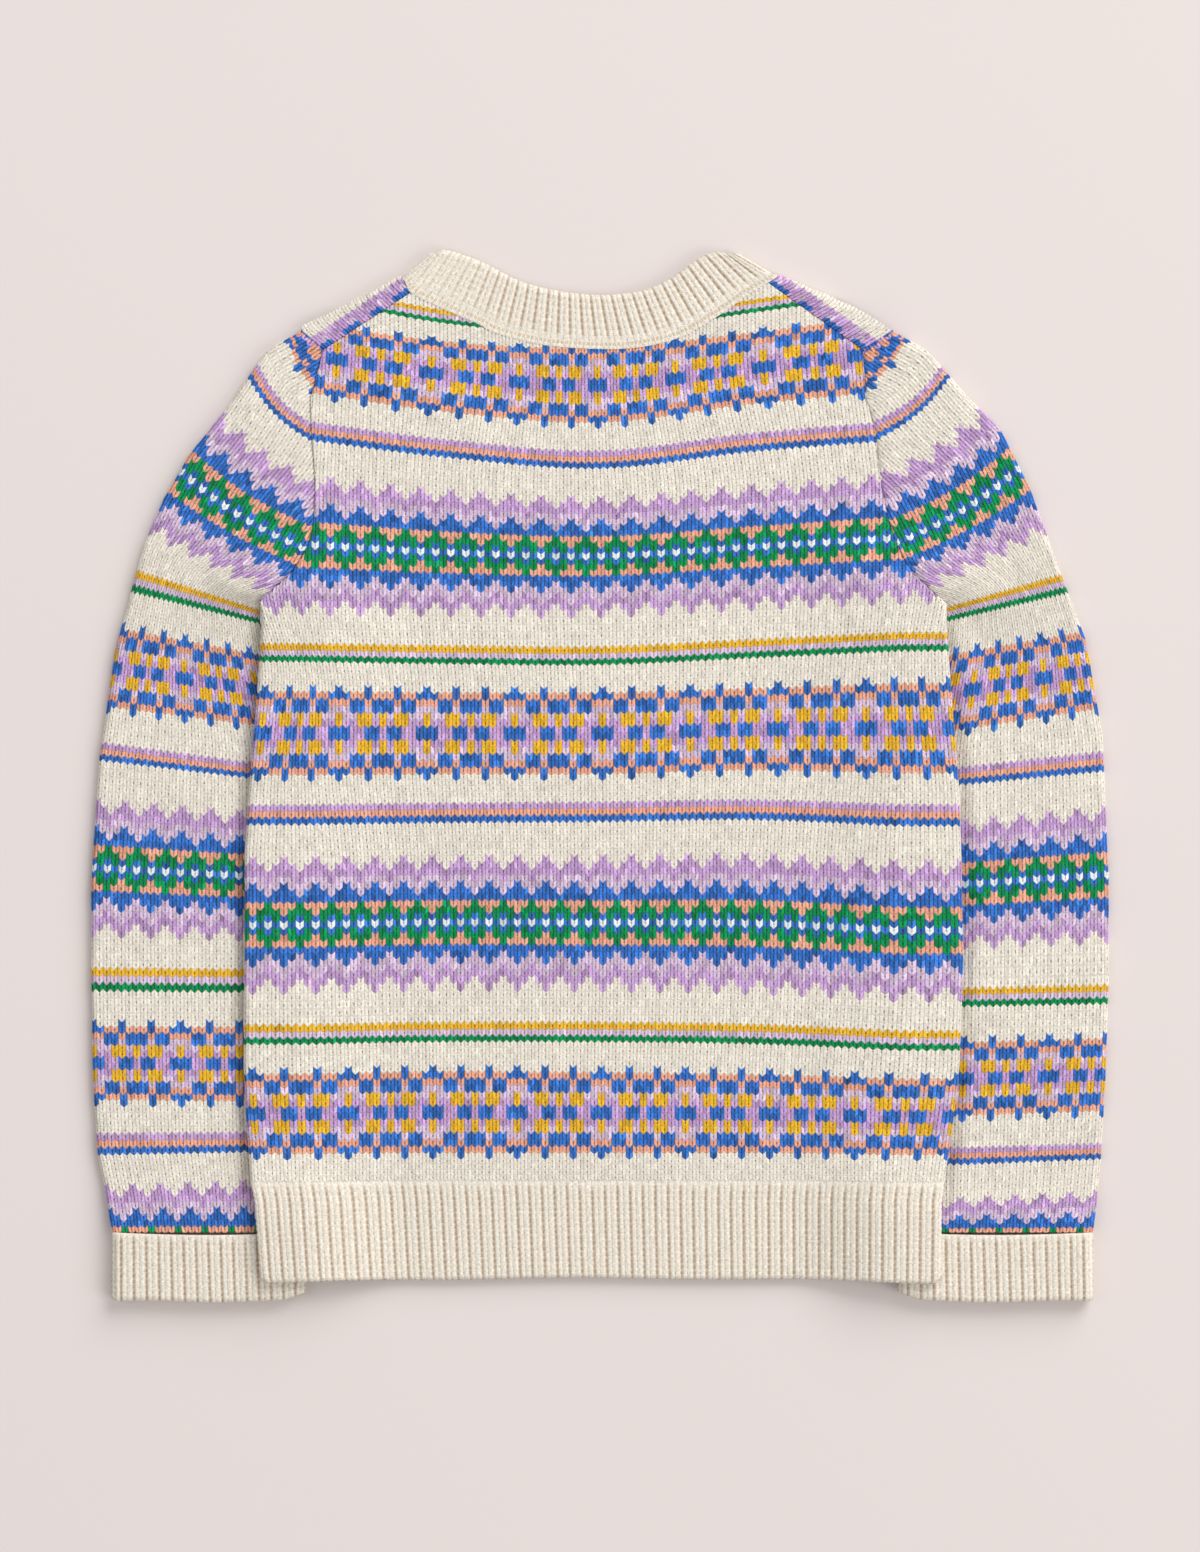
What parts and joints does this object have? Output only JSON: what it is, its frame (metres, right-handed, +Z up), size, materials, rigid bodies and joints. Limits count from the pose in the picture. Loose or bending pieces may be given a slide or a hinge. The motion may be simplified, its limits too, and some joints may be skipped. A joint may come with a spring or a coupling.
{
  "type": "fair isle jumper",
  "caption": "Child's crew neck knitted jumper with coloured fair isle bands, ribbed neckband, ribbed hem and turned back cuffs, laid flat face down.",
  "frame": {"origin": "middle of the box round the garment, on the surface that it lies on", "axes": "+X across the garment to the picture's right, +Y from the hem toward the neck, +Z up from the surface through the front panel to the back panel"},
  "size_m": [0.508, 0.525, 0.0148],
  "materials": {
    "pattern_knit": "matt cotton knit in many colours",
    "cream_rib": "matt cream rib knit"
  },
  "bodies": {
    "root": {"front_panel": "pattern_knit", "back_panel": "pattern_knit", "sleeve_left": "pattern_knit", "sleeve_right": "pattern_knit", "cuff_left": "cream_rib", "cuff_right": "cream_rib", "hem_rib_back": "cream_rib", "hem_rib_front": "cream_rib", "neckband": "cream_rib"}
  },
  "joints": []
}
